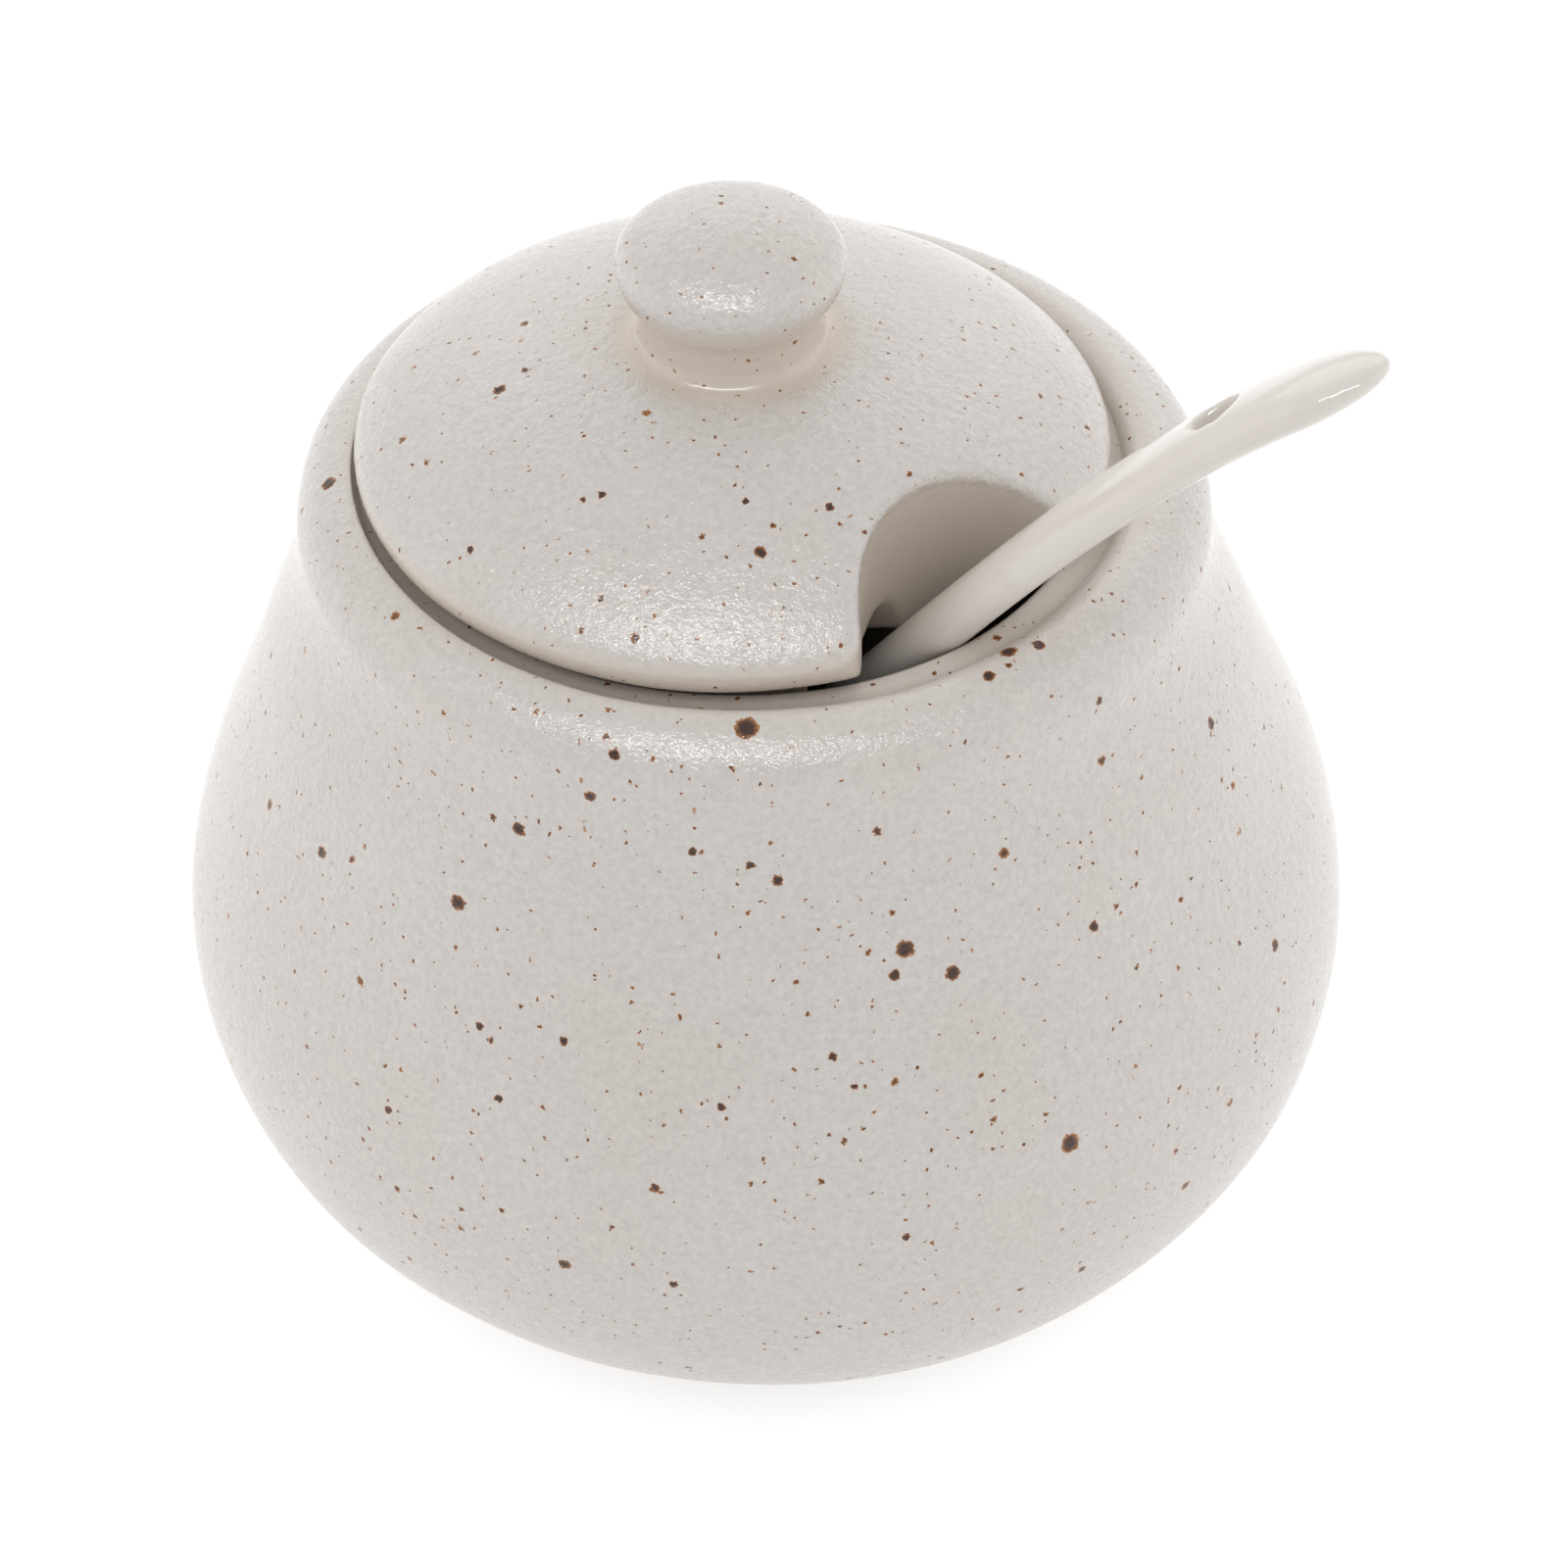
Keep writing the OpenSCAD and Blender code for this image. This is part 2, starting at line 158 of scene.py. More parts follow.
def spun(name, outline, steps):
    """A piece turned on the wheel: the outline, as (radius, height) in mm, spun about the axis."""
    take_only(None)
    bpy.ops.mesh.primitive_plane_add(size=MM, location=(0, 0, 0))
    piece = bpy.context.object
    piece.name = name
    bpy.ops.object.mode_set(mode="EDIT")
    bpy.ops.mesh.select_mode(type="VERT")
    bpy.ops.mesh.select_all(action="SELECT")
    bpy.ops.mesh.merge(type="CENTER")
    bpy.ops.mesh.select_all(action="SELECT")
    points = [Vector((r * MM, 0, z * MM)) for r, z in outline]
    bpy.ops.transform.translate(value=points[0])
    for here, there in zip(points, points[1:]):
        bpy.ops.mesh.extrude_region_move(TRANSFORM_OT_translate={"value": there - here})
    bpy.ops.mesh.select_all(action="SELECT")
    bpy.ops.mesh.spin(steps=steps, angle=2 * pi, center=(0, 0, 0), axis=(0, 0, 1))
    bpy.ops.mesh.select_all(action="SELECT")
    bpy.ops.mesh.remove_doubles(threshold=0.02 * MM)
    bpy.ops.mesh.normals_make_consistent(inside=False)
    bpy.ops.object.mode_set(mode="OBJECT")
    bpy.ops.object.shade_smooth()
    return piece


def points_of(piece):
    """The piece's points in mm, one row for each."""
    flat = np.empty(len(piece.data.vertices) * 3)
    piece.data.vertices.foreach_get("co", flat)
    return flat.reshape(-1, 3) / MM


def place_points(piece, points):
    """Move the piece's points to these places in mm."""
    piece.data.vertices.foreach_set("co", (points * MM).ravel())
    piece.data.update()


def give_share(piece, name, values):
    """Keep one number for each point, for the glaze to read."""
    layer = piece.data.attributes.new(name, "FLOAT", "POINT")
    layer.data.foreach_set("value", np.asarray(values, np.float32))


def apply_modifier(piece, name, kind, **settings):
    """Add one modifier with its settings, and make it part of the mesh."""
    take_only(piece)
    modifier = piece.modifiers.new(name, kind)
    for key, value in settings.items():
        setattr(modifier, key, value)
    bpy.ops.object.modifier_apply(modifier=name)


def make_uneven(piece, name, height, size):
    """Slow hills and hollows left by the hand and the kiln, in mm."""
    hills = bpy.data.textures.new(name, "CLOUDS")
    hills.noise_scale = size * MM
    hills.noise_depth = 1
    apply_modifier(piece, name, "DISPLACE", texture=hills, texture_coords="LOCAL",
                   strength=height * MM, mid_level=0.5)


lean = np.array((-sin(SHOULDER_LEAN), cos(SHOULDER_LEAN)))
foot = np.array((FOOT_R, 0.0))
belly = np.array((BELLY_R, BELLY_Z))
shoulder = np.array((SHOULDER_R, SHOULDER_Z))
lip = np.array((LIP_R, POT_H - LIP_H))
rise = SHOULDER_Z - BELLY_Z
neck_rise = lip[1] - SHOULDER_Z
recess_r = FOOT_R - FOOT_RING
recess_edge = np.array((recess_r - RECESS_SLOPE, FOOT_HOLLOW))
foot_side = foot + FOOT_TURN

pot_outline = [np.array((0, FOOT_HOLLOW)), recess_edge]
pot_outline += bezier(recess_edge, recess_edge + (0.6 * RECESS_SLOPE, 0), (recess_r, FOOT_ROUND),
                      (recess_r + FOOT_ROUND / 2, 0), 6)
pot_outline += [foot - (FOOT_ROUND, 0)]
pot_outline += bezier(foot - (FOOT_ROUND, 0), foot, foot + FOOT_PULLS[0], foot_side, 4)
pot_outline += bezier(foot_side, foot + FOOT_PULLS[1], belly - (0, LOWER_BELLY_PULL * BELLY_Z), belly, 26)
pot_outline += bezier(belly, belly + (0, UPPER_BELLY_PULL * rise), shoulder - SHOULDER_PULL * rise * lean,
                      shoulder, 26)
pot_outline += bezier(shoulder, shoulder + NECK_PULL * neck_rise * lean, lip - (0, LIP_PULL * neck_rise),
                      lip, 18)
outer_wall = np.array([p for p in pot_outline if p[0] > foot_side[0]])
pot_outline += arc((LIP_R - LIP_W, lip[1]), LIP_W, LIP_H, 0, LIP_END, 15)
crest = pot_outline[-1]
seat_edge = np.array((SEAT_R, SEAT_Z))
pot_outline += bezier(crest, crest + SLOPE_PULLS[0], seat_edge + SLOPE_PULLS[1], seat_edge, 14)
pot_outline += [np.array((MOUTH_R + LEDGE_FALL_W, SEAT_Z - LEDGE_FALL))]
pot_outline += arc((MOUTH_R + MOUTH_ROUND, SEAT_Z - LEDGE_FALL - MOUTH_ROUND), MOUTH_ROUND, MOUTH_ROUND,
                   90, 180, 8)

throat = np.array((MOUTH_R, SEAT_Z - LEDGE))
inner_neck = np.array((LIP_R - WALL, throat[1] - LIP_W))
inner_shoulder = shoulder - WALL * np.array((lean[1], -lean[0]))
inner_belly = belly - (WALL, 0)
inner_floor = np.array((recess_r - WALL / 2, FLOOR_Z))
inner_rise = inner_neck[1] - inner_shoulder[1]
pot_outline += [throat]
pot_outline += bezier(throat, ((MOUTH_R + inner_neck[0]) / 2, throat[1]), inner_neck + (0, LIP_W / 2),
                      inner_neck, 8)
pot_outline += bezier(inner_neck, inner_neck - (0, LIP_PULL * inner_rise),
                      inner_shoulder + NECK_PULL * inner_rise * lean, inner_shoulder, 8)
pot_outline += bezier(inner_shoulder, inner_shoulder - SHOULDER_PULL * rise * lean,
                      inner_belly + (0, UPPER_BELLY_PULL * rise), inner_belly, 12)
pot_outline += bezier(inner_belly, inner_belly - (0, INSIDE_PULLS[0]), inner_floor + (INSIDE_PULLS[1], 0),
                      inner_floor, 12)
pot_outline += [np.array((inner_floor[0] / 2, FLOOR_Z)), np.array((0, FLOOR_Z))]

pot = spun("stoneware_pot", pot_outline, POT_STEPS)
pot_points = points_of(pot)
pot_r = np.hypot(pot_points[:, 0], pot_points[:, 1])
pot_z = pot_points[:, 2]
# The glaze lies smooth over the top of the lip and all the inside, and pebbled on the outside
lip_turn = np.degrees(np.arctan2((pot_z - lip[1]) / LIP_H, (pot_r - LIP_R + LIP_W) / LIP_W))
on_lip = (pot_z > lip[1]) & (pot_r > MOUTH_R + LEDGE_FALL_W)
inside = (pot_r < np.interp(pot_z, WALL_MIDDLE_Z, WALL_MIDDLE_R)) & (pot_z > FLOOR_Z / 2)
give_share(pot, "smooth_glaze", np.where(on_lip, smoothstep(lip_turn, *SMOOTH_LIP_TURN), inside))
# The throat under the ledge is almost bare clay
give_share(pot, "bare_clay", smooth_fall(pot_r, *THROAT_FADE_R) * smoothstep(pot_z, *THROAT_FADE_Z))

pot_points[:, 0] += BELLY_OFFSET * smooth_fall(pot_z, *BELLY_FADE) * ~inside
pot_points[:, 0] += LEDGE_OFFSET * smoothstep(pot_z, *LEDGE_FADE_Z) * smooth_fall(pot_r, *LEDGE_FADE_R)
place_points(pot, pot_points)
make_uneven(pot, "thrown_hollows", height=0.4, size=24)
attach(pot, "pot_body")
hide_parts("pot")

# The stoneware glaze
# A warm white satin glaze over iron-rich clay: it lies in fine pebbles, and the iron comes through
# as brown spots with rusty rims. Where the glaze pools or the wall is bare of pebbles, it is smooth
# and a little more beige.
PEBBLED = (0.620, 0.578, 0.542)
PEBBLED_COOL = (0.622, 0.588, 0.560)
# The smooth glaze on the lip, ledge and inside is partly its own pale colour and partly painted light: it is
# lightened to lift the shade that the spoon and lid cast on the ledge.
SMOOTH_LIP_PAINTED_LIGHTER = (0.640, 0.590, 0.540)
SMOOTH_LID = (0.590, 0.520, 0.450)
BARE_CLAY = (0.500, 0.435, 0.370)
IRON_DARK = (0.040, 0.013, 0.006)
IRON_BROWN = (0.150, 0.052, 0.015)
IRON_RUST = (0.420, 0.190, 0.060)
# Small specks: cells to a metre, the largest speck's radius in cells, and the share of cells with one
SPECK_KINDS = ((1050.0, 0.20, 0.62), (500.0, 0.165, 0.60), (230.0, 0.115, 0.62), (100.0, 0.07, 0.40))
# How far the specks' and spots' outlines are dragged about, and how steeply a spot's rust begins
RAGGED = 0.7 * MM
SPOT_STEEP = 2.2
# The relief: how far the pebbles are bent, what the grains and hollows add, and how deep it all is
PEBBLE_BEND = 1.1 * MM
GRAIN_HEIGHT = 0.40
SWELL_HEIGHT = 0.9
RELIEF_DEPTH = 0.16 * MM
SMOOTH_RELIEF = 0.06
# Roughness of the glaze, and what bare clay and the fine grains add to it
SATIN = 0.16
CLAY_ROUGHER = 0.25
GRAIN_ROUGHER = 0.12
# The fine grains darken the pebbled glaze by the first share at most, and lighten it by the second
GRAIN_DARKER = 0.11
GRAIN_LIGHTER = 0.05
# Large iron spots: azimuth in degrees, height and radius in mm
POT_SPOTS = [(-91, 80.9, 1.05), (-118.6, 69.4, 0.62), (-124.9, 61.1, 0.72), (-74.1, 61.3, 0.85),
             (-69.3, 58.3, 0.68), (-75.6, 59.2, 0.55), (-175, 80.6, 0.75), (-60.3, 40.3, 0.95),
             (-109.2, 30.9, 0.62), (-109.7, 74.7, 0.55), (-107.1, 78.9, 0.52), (-146.1, 57, 0.6),
             (-87.6, 68.3, 0.52), (-51.9, 57.4, 0.5), (-24, 64.4, 0.6), (-28.5, 43.8, 0.6),
             (-52, 81.3, 0.85), (-48, 81.2, 0.6), (-57.2, 81.1, 0.55), (-117, 45.8, 0.4),
             (-90.6, 69.7, 0.4), (-44, 76.2, 0.45), (-110.8, 52.5, 0.42), (-120.2, 51.4, 0.4),
             (-94.4, 48.9, 0.4), (-100.7, 41.1, 0.45), (-98.8, 30.9, 0.42), (-77.2, 35.6, 0.4),
             (-97.3, 70.7, 0.4), (-75.6, 71.8, 0.42), (-58.9, 24.3, 0.45), (-129, 40, 0.42),
             (-83, 53, 0.42), (-81.2, 50.3, 0.38)]
LID_SPOTS = [(-167.5, 91.7, 0.6), (-84.4, 89.9, 0.58), (-104.7, 85.5, 0.42), (-137.3, 86.8, 0.35),
             (-111.7, 87.2, 0.36), (-120.4, 91.3, 0.4), (-171.6, 92.5, 0.38), (-67.8, 91.2, 0.4),
             (166, 92.3, 0.4), (-86.5, 91.8, 0.36)]


def wire(tree, kind, inputs=None, **settings):
    """Add a node. Each input is a number or colour, or the socket that it is wired to."""
    made = tree.nodes.new(kind)
    for key, value in settings.items():
        setattr(made, key, value)
    for key, value in (inputs or {}).items():
        if isinstance(value, bpy.types.NodeSocket):
            tree.links.new(value, made.inputs[key])
        else:
            made.inputs[key].default_value = value
    return made


def maths(tree, operation, *values):
    """One sum on numbers or sockets."""
    return wire(tree, "ShaderNodeMath", dict(enumerate(values)), operation=operation).outputs[0]


def between(tree, value, low, high):
    """0 at low, 1 at high, smooth between them."""
    return wire(tree, "ShaderNodeMapRange", {"Value": value, "From Min": low, "From Max": high},
                interpolation_type="SMOOTHSTEP").outputs["Result"]


def mixed(tree, share, a, b):
    """Colour a where the share is 0, and colour b where it is 1."""
    made = wire(tree, "ShaderNodeMix", {0: share, 6: a, 7: b}, data_type="RGBA", clamp_factor=True)
    return made.outputs[2]


def new_group(name, inputs, outputs):
    """An effect as a node group, with its named inputs and outputs."""
    group = bpy.data.node_groups.new(name, "ShaderNodeTree")
    for title, kind in inputs:
        group.interface.new_socket(title, in_out="INPUT", socket_type=kind)
    for title, kind in outputs:
        group.interface.new_socket(title, in_out="OUTPUT", socket_type=kind)
    return group, group.nodes.new("NodeGroupInput"), group.nodes.new("NodeGroupOutput")


def rgba(colour):
    """The colour with full opacity."""
    return (*colour, 1.0)


# Scattered iron: how far each place is from the nearest speck, in that speck's own radius
speck_group, speck_in, speck_out = new_group(
    "iron_specks", [("Place", "NodeSocketVector"), ("Specks per Metre", "NodeSocketFloat"),
                    ("Largest", "NodeSocketFloat"), ("Share", "NodeSocketFloat")],
    [("Nearness", "NodeSocketFloat")])
speck_share = speck_in.outputs["Share"]
cells = wire(speck_group, "ShaderNodeTexVoronoi", {"Vector": speck_in.outputs["Place"],
             "Scale": speck_in.outputs["Specks per Metre"], "Randomness": 1.0})
cell_luck = wire(speck_group, "ShaderNodeSeparateColor", {"Color": cells.outputs["Color"]}).outputs["Red"]
missed = maths(speck_group, "SUBTRACT", 1.0, speck_share)
lucky = maths(speck_group, "DIVIDE", maths(speck_group, "SUBTRACT", cell_luck, missed), speck_share)
lucky = maths(speck_group, "MAXIMUM", lucky, 0.0001)
speck_r = maths(speck_group, "MULTIPLY", lucky, speck_in.outputs["Largest"])
speck_near = maths(speck_group, "DIVIDE", cells.outputs["Distance"], speck_r)
speck_group.links.new(speck_near, speck_out.inputs["Nearness"])

# One large iron spot
spot_group, spot_in, spot_out = new_group(
    "iron_spot", [("Place", "NodeSocketVector"), ("Centre", "NodeSocketVector"),
                  ("Radius", "NodeSocketFloat")],
    [("Nearness", "NodeSocketFloat")])
spot_away = wire(spot_group, "ShaderNodeVectorMath", {0: spot_in.outputs["Place"],
                 1: spot_in.outputs["Centre"]}, operation="DISTANCE").outputs["Value"]
spot_near = maths(spot_group, "DIVIDE", spot_away, spot_in.outputs["Radius"])
spot_near = maths(spot_group, "POWER", spot_near, SPOT_STEEP)
spot_group.links.new(spot_near, spot_out.inputs["Nearness"])

# The glaze's own relief: pebbles about 0.6 mm across, finer grains on them, and slow hollows
pebble_group, pebble_in, pebble_out = new_group(
    "glaze_pebbles", [("Place", "NodeSocketVector")], [("Height", "NodeSocketFloat")])
pebble_bend = wire(pebble_group, "ShaderNodeTexNoise", {"Vector": pebble_in.outputs["Place"], "Scale": 420.0,
                   "Detail": 1.0})
pebble_place = wire(pebble_group, "ShaderNodeVectorMath", {0: pebble_bend.outputs["Color"],
                    1: (PEBBLE_BEND,) * 3, 2: pebble_in.outputs["Place"]},
                    operation="MULTIPLY_ADD").outputs[0]
pebbles = wire(pebble_group, "ShaderNodeTexNoise", {"Vector": pebble_place, "Scale": 1300.0, "Detail": 2.0,
               "Roughness": 0.55}).outputs["Fac"]
grains = wire(pebble_group, "ShaderNodeTexNoise", {"Vector": pebble_in.outputs["Place"], "Scale": 3600.0,
              "Detail": 1.0}).outputs["Fac"]
swells = wire(pebble_group, "ShaderNodeTexNoise", {"Vector": pebble_in.outputs["Place"], "Scale": 380.0,
              "Detail": 1.0}).outputs["Fac"]
relief = maths(pebble_group, "MULTIPLY_ADD", grains, GRAIN_HEIGHT, pebbles)
relief = maths(pebble_group, "MULTIPLY_ADD", swells, SWELL_HEIGHT, relief)
pebble_group.links.new(relief, pebble_out.inputs["Height"])


def stoneware(name, smooth_colour, spots):
    """The speckled glaze, with this piece's own large iron spots given as places and radii in mm."""
    glaze = bpy.data.materials.new(name)
    glaze.use_nodes = True
    tree = glaze.node_tree
    shader = tree.nodes["Principled BSDF"]
    place = wire(tree, "ShaderNodeTexCoord").outputs["Object"]
    smooth = wire(tree, "ShaderNodeAttribute", attribute_name="smooth_glaze").outputs["Fac"]
    bare_clay = wire(tree, "ShaderNodeAttribute", attribute_name="bare_clay").outputs["Fac"]
    pebbled = maths(tree, "SUBTRACT", 1.0, smooth)
    pebble = wire(tree, "ShaderNodeGroup")
    pebble.node_tree = pebble_group
    tree.links.new(place, pebble.inputs["Place"])

    # Ragged outlines for the iron
    rag = wire(tree, "ShaderNodeTexNoise", {"Vector": place, "Scale": 2300.0, "Detail": 2.0})
    ragged = wire(tree, "ShaderNodeVectorMath", {0: rag.outputs["Color"], 1: (RAGGED,) * 3, 2: place},
                  operation="MULTIPLY_ADD").outputs[0]
    nearest = None
    for specks_per_metre, largest, share in SPECK_KINDS:
        specks = wire(tree, "ShaderNodeGroup")
        specks.node_tree = speck_group
        tree.links.new(ragged, specks.inputs["Place"])
        specks.inputs["Specks per Metre"].default_value = specks_per_metre
        specks.inputs["Largest"].default_value = largest
        specks.inputs["Share"].default_value = share
        found = specks.outputs["Nearness"]
        nearest = maths(tree, "MINIMUM", nearest, found) if nearest else found
    for centre, spot_r in spots:
        spot = wire(tree, "ShaderNodeGroup")
        spot.node_tree = spot_group
        tree.links.new(ragged, spot.inputs["Place"])
        # The noise drags every place by half of RAGGED on average, so the spot's centre goes with it
        spot.inputs["Centre"].default_value = Vector(centre) * MM + Vector((0.5 * RAGGED,) * 3)
        spot.inputs["Radius"].default_value = spot_r * MM
        nearest = maths(tree, "MINIMUM", nearest, spot.outputs["Nearness"])
    mottle = wire(tree, "ShaderNodeTexNoise", {"Vector": place, "Scale": 5200.0, "Detail": 1.0})
    mottle = maths(tree, "SUBTRACT", mottle.outputs["Fac"], 0.5)
    nearest = maths(tree, "ADD", nearest, maths(tree, "MULTIPLY", mottle, 0.5))
    iron = wire(tree, "ShaderNodeValToRGB", {"Fac": nearest})
    stops = iron.color_ramp.elements
    stops[0].position, stops[0].color = 0.2, rgba(IRON_DARK)
    stops[1].position, stops[1].color = 0.95, rgba(IRON_RUST)
    stops.new(0.55).color = rgba(IRON_BROWN)
    iron_share = maths(tree, "SUBTRACT", 1.0, between(tree, nearest, 0.85, 1.15))
    iron_share = maths(tree, "MULTIPLY", iron_share, maths(tree, "SUBTRACT", 1.0, bare_clay))

    # Fine light and dark grains, and slow warm and cool clouds
    fine = wire(tree, "ShaderNodeTexNoise", {"Vector": place, "Scale": 1500.0, "Detail": 3.0,
                "Roughness": 0.65}).outputs["Fac"]
    clouds = wire(tree, "ShaderNodeTexNoise", {"Vector": place, "Scale": 60.0, "Detail": 3.0}).outputs["Fac"]
    grey = mixed(tree, between(tree, clouds, 0.35, 0.65), rgba(PEBBLED), rgba(PEBBLED_COOL))
    bare = mixed(tree, bare_clay, mixed(tree, smooth, grey, rgba(smooth_colour)), rgba(BARE_CLAY))
    grain_low = maths(tree, "MULTIPLY_ADD", pebbled, -GRAIN_DARKER, 1.0)
    grain = wire(tree, "ShaderNodeMapRange", {"Value": fine, "From Min": 0.3, "From Max": 0.7,
                 "To Min": grain_low, "To Max": 1.0 + GRAIN_LIGHTER}).outputs["Result"]
    tone = wire(tree, "ShaderNodeVectorMath", {0: bare, "Scale": grain}, operation="SCALE").outputs[0]
    tree.links.new(mixed(tree, iron_share, tone, iron.outputs["Color"]), shader.inputs["Base Color"])

    rough = maths(tree, "MULTIPLY_ADD", bare_clay, CLAY_ROUGHER, SATIN)
    rough = maths(tree, "MULTIPLY_ADD", fine, GRAIN_ROUGHER, rough)
    tree.links.new(rough, shader.inputs["Roughness"])
    bump_share = maths(tree, "MULTIPLY_ADD", pebbled, 1 - SMOOTH_RELIEF, SMOOTH_RELIEF)
    height = maths(tree, "MULTIPLY", pebble.outputs["Height"], bump_share)
    bump = wire(tree, "ShaderNodeBump", {"Height": height, "Strength": 1.0, "Distance": RELIEF_DEPTH})
    tree.links.new(bump.outputs["Normal"], shader.inputs["Normal"])
    return glaze


def on_pot(azimuth, z, r):
    """The place on the pot's outside, at this azimuth and height, and the spot's radius."""
    if z > lip[1]:
        across = LIP_R - LIP_W + LIP_W * sqrt(max(0.0, 1 - ((z - lip[1]) / LIP_H)**2))
    else:
        across = float(np.interp(z, outer_wall[:, 1], outer_wall[:, 0]))
    off = BELLY_OFFSET * float(smooth_fall(z, *BELLY_FADE))
    angle = radians(azimuth)
    return (across * cos(angle) + off, across * sin(angle), z), r


# The pot's smooth glaze carries painted light that lifts the shade on the ledge.
pot.data.materials.append(stoneware("speckled_pot_glaze", SMOOTH_LIP_PAINTED_LIGHTER, [on_pot(*spot) for spot in POT_SPOTS]))

# The lid
# A domed stoneware lid with a knob, a ring under it that keeps it on the ledge, and a round notch
# for the spoon. It is spun, the notch is cut and lined with a wall, and the glaze softens its edges.
LID_X = -1.9
LID_R = 33.8
LID_Z = 80.0
EDGE_H = 3.3
EDGE_W = 3.2
APEX_Z = 94.9
LID_WALL = 4.0
RING_R = 28.2
RING_W = 3.0
RING_H = 6.0
RING_ROUND = 0.6
NOTCH_R = 13.5
NOTCH_REACH = 36.5
NOTCH_TURN = radians(-48)
NOTCH_CORNER = 3.0
NOTCH_WALL = 3.0
# Past the lid's edge the notch's plan runs out to this radius, and ends at this place on either side
PLAN_R = 42.0
PLAN_END = (44.0, 6.0)
RING_ROOM = 4.5
# The cut in the ring stops this far under the lid, and cuts run this far past what they cut
RING_CUT_GAP = 0.3
OVERRUN = 2.0
# The lining reaches down to the ring's foot. Between these turns, in degrees, it rises past the spoon,
# and ends just under the lid from there on.
LINING_FOOT = 75.2
LINING_SHORT = 1.0
PAST_SPOON = (146, 154)
# It stays this far inside the ring's outer face, and stands this far into the notch until that is cut
LINING_INSET = 0.2
LINING_SPARE = 1.0
# The spoon's stem leans on the mouth's edge: its slope and heading, and where on the edge it rests
STEM_T = 4.8
LEAN = radians(51.3)
HEADING = radians(-15)
REST_TURN = radians(-52)
REST_R = 31.0
REST_GAP = 0.3
# The lining is cut back round the stem by a cylinder that ends a little above the place where it rests
STEM_ROOM = 3.7
STEM_CUT_LENGTH = 40.0
STEM_CUT_ABOVE = 2.5
KNOB_R = 10.15
KNOB_NECK_R = 8.1
KNOB_TOP = 107.2
KNOB_CAP = 4.7
KNOB_FILLET = 1.3
# How far the curves are drawn out: as shares of what they span, and in mm on the knob's side
DOME_RISE = 0.12
DOME_FLAT = 0.7
CAP_RISE = 0.44
CAP_FLAT = 0.57
KNOB_PULLS = (2.6, 3.4)
KNOB_FOOT_RISE = 0.1
# The dome's own points stop this far from the knob's foot
CLEAR_OF_KNOB = 0.6
LID_STEPS = 160
# The voxels of the glaze skin, in mm
LID_SKIN = 0.42
# The notch's upper edge is rounded: the band fades by the distance from the wall, and by height
SOFT_EDGE_R = (1.6, 3.2)
SOFT_EDGE_Z = (83.5, 85.5)
# Where the glaze turns from smooth to pebbled: above the lid's edge, out from the knob's foot, above that
# foot, below the knob's widest place, off the notch's wall, and down from the dome's surface
EDGE_BAND = (-0.6, 1.4)
KNOB_FOOT_BAND = (0.2, 2.1)
NECK_FOOT_BAND = (-0.9, 0.3)
NECK_TOP_BAND = (-2.2, -0.4)
WALL_BAND = (0.5, 1.3)
WALL_DEPTH_BAND = (0.7, 1.6)
UNDERSIDE_BAND = (2.4, 3.2)
# The underside is bare clay below the lid's edge, and fades into the glazed hollow over this height
BARE_FADE = 2.0

edge = np.array((LID_R, LID_Z + EDGE_H))
dome_h = APEX_Z - edge[1]
cap = np.array((KNOB_R, KNOB_TOP - KNOB_CAP))
dome = bezier(edge, edge + (0, DOME_RISE * dome_h), (DOME_FLAT * LID_R, APEX_Z), (0, APEX_Z), 40)
knob_foot_r = KNOB_NECK_R + KNOB_FILLET
dome_flank = [p for p in dome if p[0] > knob_foot_r + CLEAR_OF_KNOB]
dome_line = np.array(dome[::-1])
knob_foot = np.array((knob_foot_r, float(np.interp(knob_foot_r, dome_line[:, 0], dome_line[:, 1]))))
neck = np.array((KNOB_NECK_R, knob_foot[1] + 2 * KNOB_FILLET))
lid_edge = [edge - (EDGE_W, EDGE_H)]
lid_edge += arc(edge - (EDGE_W, 0), EDGE_W, EDGE_H, -90, 0, 12)
upper_side = lid_edge + dome_flank
upper_side += bezier(knob_foot, knob_foot - (KNOB_FILLET, -KNOB_FOOT_RISE),
                     neck - (0, 1.2 * KNOB_FILLET), neck, 6)
upper_side += bezier(neck, neck + (0, KNOB_PULLS[0]), cap - (0, KNOB_PULLS[1]), cap, 12)
upper_side += bezier(cap, cap + (0, CAP_RISE * KNOB_CAP), (CAP_FLAT * KNOB_R, KNOB_TOP), (0, KNOB_TOP), 16)
hollow_r = RING_R - RING_W
hollow_top = APEX_Z - LID_WALL
under_side = [np.array((0, hollow_top))]
under_side += bezier((0, hollow_top), (DOME_FLAT * hollow_r, hollow_top),
                     (hollow_r, edge[1] + DOME_FLAT * (hollow_top - edge[1])), (hollow_r, edge[1]), 14)
ring_foot = LID_Z - RING_H
under_side += [np.array(p) for p in ((hollow_r, ring_foot + RING_ROUND), (hollow_r + RING_ROUND, ring_foot),
                                     (RING_R - RING_ROUND, ring_foot), (RING_R, ring_foot + RING_ROUND),
                                     (RING_R, LID_Z))]
lid = spun("stoneware_lid", under_side + upper_side, LID_STEPS)


def joined(piece, other, operation):
    """Unite, cut or keep the common part of two solids, and throw the other away."""
    apply_modifier(piece, operation.lower(), "BOOLEAN", object=other, operation=operation, solver="EXACT")
    bpy.data.objects.remove(other)


